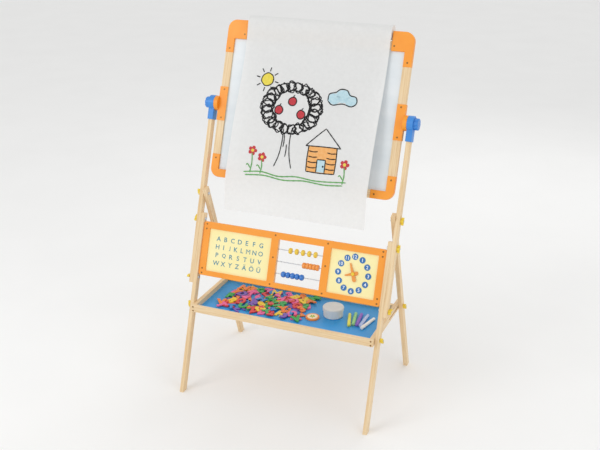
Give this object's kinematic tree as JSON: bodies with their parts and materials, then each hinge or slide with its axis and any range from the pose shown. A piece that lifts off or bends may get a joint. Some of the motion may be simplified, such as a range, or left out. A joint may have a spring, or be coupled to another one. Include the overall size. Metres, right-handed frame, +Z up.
{
  "type": "kids easel",
  "caption": "Child's standing easel: leaning timber frame, turning whiteboard and chalkboard with a paper roll, play panel with abacus and clock, and a tray that folds with the rear legs.",
  "frame": {"origin": "on the floor, under the middle of the bounding box", "axes": "+X to the right seen from the front, -Y towards the user at the front, +Z up"},
  "size_m": [0.7326, 0.4842, 1.2078],
  "materials": {
    "pine": "clear matt varnish",
    "orange_paint": "satin",
    "orange_plastic": "satin gloss",
    "blue_plastic": "satin gloss",
    "yellow_plastic": "satin gloss",
    "steel": "zinc plated",
    "cream_board": "matt",
    "blue_board": "satin",
    "disc_blue": "satin",
    "hand_orange": "satin gloss",
    "bead_yellow": "gloss paint",
    "bead_orange": "gloss paint",
    "bead_blue": "gloss paint",
    "letter_magnets": "gloss",
    "chalk": "matt",
    "clear_plastic": "translucent satin",
    "magnet_orange": "gloss",
    "whiteboard": "gloss",
    "chalkboard": "matt",
    "paper": "matt"
  },
  "bodies": {
    "frame": {"front_leg_left": "pine", "front_leg_right": "pine", "post_left": "pine", "post_right": "pine", "frame_bolts": "steel", "frame_wing_nuts": "yellow_plastic", "clamp_left": "blue_plastic", "clamp_right": "blue_plastic", "panel_front_bezel": "orange_paint", "panel_core": "pine", "panel_rear_bezel": "orange_paint", "alphabet_board": "cream_board", "clock_board": "cream_board", "panel_screws": "steel", "abacus_rods": "steel", "clock_numeral_discs": "disc_blue", "clock_pin": "yellow_plastic"},
    "rear_legs": {"rear_leg_left": "pine", "rear_leg_right": "pine", "rear_leg_bolts": "steel", "rear_leg_wing_nuts": "yellow_plastic"},
    "tray": {"tray_side_rail_left": "pine", "tray_side_rail_right": "pine", "tray_front_rail": "pine", "tray_back_rail": "pine", "tray_floor": "blue_board", "tray_screws": "steel", "magnet_letters_lower": "letter_magnets", "magnet_letters_upper": "letter_magnets", "chalk_sticks": "chalk", "round_magnet": "magnet_orange"},
    "board": {"board_stile_left": "pine", "board_stile_right": "pine", "board_corner_top_left": "orange_plastic", "board_corner_top_right": "orange_plastic", "board_corner_bottom_left": "orange_plastic", "board_corner_bottom_right": "orange_plastic", "pivot_bracket_left": "orange_plastic", "pivot_bracket_right": "orange_plastic", "board_rail_top": "pine", "board_rail_bottom": "pine", "whiteboard": "whiteboard", "chalkboard": "chalkboard", "board_pivots": "steel", "board_screws": "steel", "roll_dowel": "pine", "paper_sheet": "paper"},
    "clamp_knob_left": {"clamp_knob_left": "blue_plastic"},
    "clamp_knob_right": {"clamp_knob_right": "blue_plastic"},
    "beads_yellow": {"abacus_beads_yellow": "bead_yellow"},
    "beads_orange": {"abacus_beads_orange": "bead_orange"},
    "beads_blue": {"abacus_beads_blue": "bead_blue"},
    "hour_hand": {"clock_hour_hand": "hand_orange"},
    "minute_hand": {"clock_minute_hand": "hand_orange"},
    "paper_roll": {"paper_roll": "paper"},
    "pot": {"pot": "clear_plastic"},
    "pot_lid": {"pot_lid": "clear_plastic"}
  },
  "joints": [
    {"name": "board_tilt", "type": "hinge", "parent": "frame", "child": "board", "pos_m": [0, 0.0971, 0.92719], "axis": [1, 0, 0], "continuous": true},
    {"name": "knob_turn_left", "type": "hinge", "parent": "frame", "child": "clamp_knob_left", "pos_m": [-0.359, 0.0971, 0.92719], "axis": [-1, 0, 0], "continuous": true},
    {"name": "knob_turn_right", "type": "hinge", "parent": "frame", "child": "clamp_knob_right", "pos_m": [0.359, 0.0971, 0.92719], "axis": [1, 0, 0], "continuous": true},
    {"name": "rear_legs_fold", "type": "hinge", "parent": "frame", "child": "rear_legs", "pos_m": [0, -0.00354, 0.64139], "axis": [-1, 0, 0], "range_deg": [0, 17]},
    {"name": "tray_fold", "type": "hinge", "parent": "frame", "child": "tray", "pos_m": [0, -0.13009, 0.28202], "axis": [-1, 0, 0], "range_deg": [0, 9]},
    {"name": "yellow_beads_slide", "type": "slide", "parent": "frame", "child": "beads_yellow", "axis": [1, 0, 0], "range_m": [-0.037, 0.02]},
    {"name": "orange_beads_slide", "type": "slide", "parent": "frame", "child": "beads_orange", "axis": [1, 0, 0], "range_m": [-0.09, 0.009]},
    {"name": "blue_beads_slide", "type": "slide", "parent": "frame", "child": "beads_blue", "axis": [1, 0, 0], "range_m": [-0.02, 0.056]},
    {"name": "hour_hand_turn", "type": "hinge", "parent": "frame", "child": "hour_hand", "pos_m": [0.219, -0.06837, 0.46543], "axis": [0, 0.9432, -0.3322], "continuous": true},
    {"name": "minute_hand_turn", "type": "hinge", "parent": "frame", "child": "minute_hand", "pos_m": [0.219, -0.06837, 0.46543], "axis": [0, 0.9432, -0.3322], "continuous": true},
    {"name": "paper_roll_spin", "type": "hinge", "parent": "board", "child": "paper_roll", "pos_m": [0, 0.19568, 1.18394], "axis": [1, 0, 0], "continuous": true},
    {"name": "pot_lift", "type": "slide", "parent": "tray", "child": "pot", "axis": [0, 0, 1], "range_m": [0, 0.06]},
    {"name": "pot_lid_lift", "type": "slide", "parent": "pot", "child": "pot_lid", "axis": [0, 0, 1], "range_m": [0, 0.03]}
  ],
  "couplings": [
    {"joint": "tray_fold", "follows": "rear_legs_fold", "ratio": 0.512}
  ]
}
